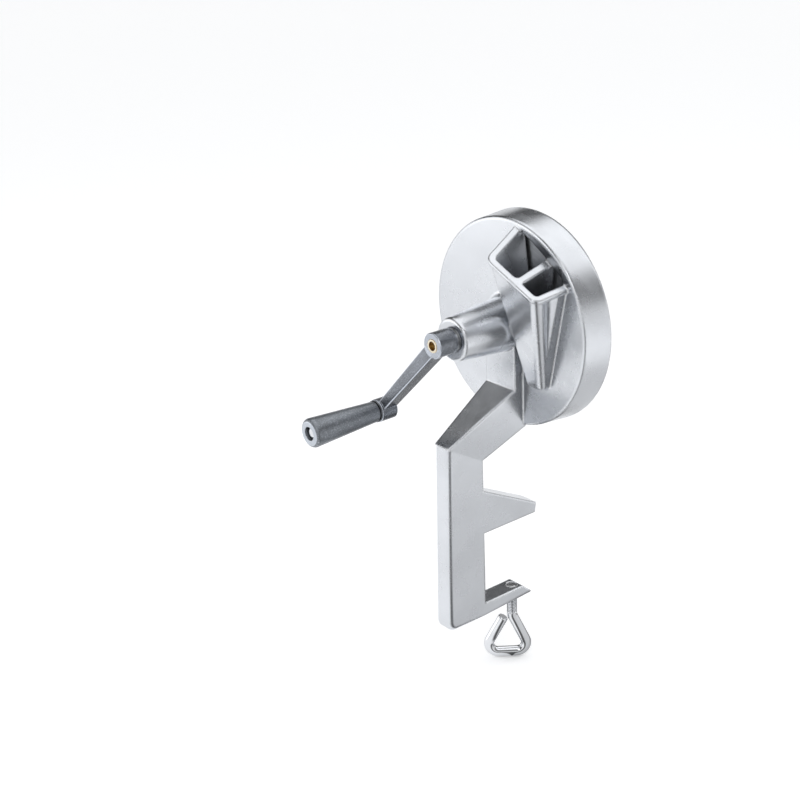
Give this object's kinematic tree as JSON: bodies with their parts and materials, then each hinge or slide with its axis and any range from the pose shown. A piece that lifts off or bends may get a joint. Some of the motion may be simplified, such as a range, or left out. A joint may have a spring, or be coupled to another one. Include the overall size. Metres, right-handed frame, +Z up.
{
  "type": "hand cranked bean slicer",
  "caption": "Cast aluminium bean slicer with a feed chute, a hand-cranked knife disc in a round pan, and a table clamp with a looped screw.",
  "frame": {"origin": "on the upper jaw's table face, in the plane of the front plate's face and in the stand's middle plane", "axes": "+Z up, +Y along the crank axis from the crank towards the knife disc and over the table, +X to the side of the feed chute"},
  "size_m": [0.1178, 0.1233, 0.2662],
  "materials": {
    "cast_aluminium": "satin blasted casting",
    "machined_aluminium": "turned face",
    "bronze": "sintered",
    "turned_steel": "turned",
    "stainless_blade": "ground",
    "stainless_fastener": "bright",
    "grey_lacquer": "dark grey metallic",
    "brass": "turned",
    "grip_plastic": "fine grain, dark grey",
    "chrome": "polished"
  },
  "bodies": {
    "housing": {"housing": "cast_aluminium", "front_bush": "bronze", "rear_bush": "bronze"},
    "rotor": {"drive_shaft": "turned_steel", "thrust_washer": "turned_steel", "knife_disc": "machined_aluminium", "blade_1": "stainless_blade", "blade_2": "stainless_blade", "blade_3": "stainless_blade", "blade_screws": "stainless_fastener", "disc_washer": "stainless_fastener", "disc_nut": "stainless_fastener", "crank_arm": "grey_lacquer", "crank_insert": "brass", "grip_pin": "chrome", "collar_ring": "turned_steel"},
    "grip": {"grip": "grip_plastic"},
    "clamp_tip": {"clamp_tip": "turned_steel"},
    "clamp_screw": {"clamp_screw": "chrome"}
  },
  "joints": [
    {"name": "crank_spin", "type": "hinge", "parent": "housing", "child": "rotor", "pos_m": [0, 0, 0.116], "axis": [0, 1, 0], "continuous": true},
    {"name": "grip_spin", "type": "hinge", "parent": "rotor", "child": "grip", "pos_m": [-0.04034, -0.06, 0.07024], "axis": [0, 1, 0], "continuous": true},
    {"name": "clamp_travel", "type": "slide", "parent": "housing", "child": "clamp_tip", "axis": [0, 0, 1], "range_m": [0, 0.01]},
    {"name": "clamp_turn", "type": "hinge", "parent": "clamp_tip", "child": "clamp_screw", "pos_m": [0, 0.0005, -0.05], "axis": [0, 0, 1], "range_deg": [0, 3600]}
  ],
  "couplings": [
    {"joint": "clamp_travel", "follows": "clamp_turn", "m_per_rad": 0.00015915}
  ]
}
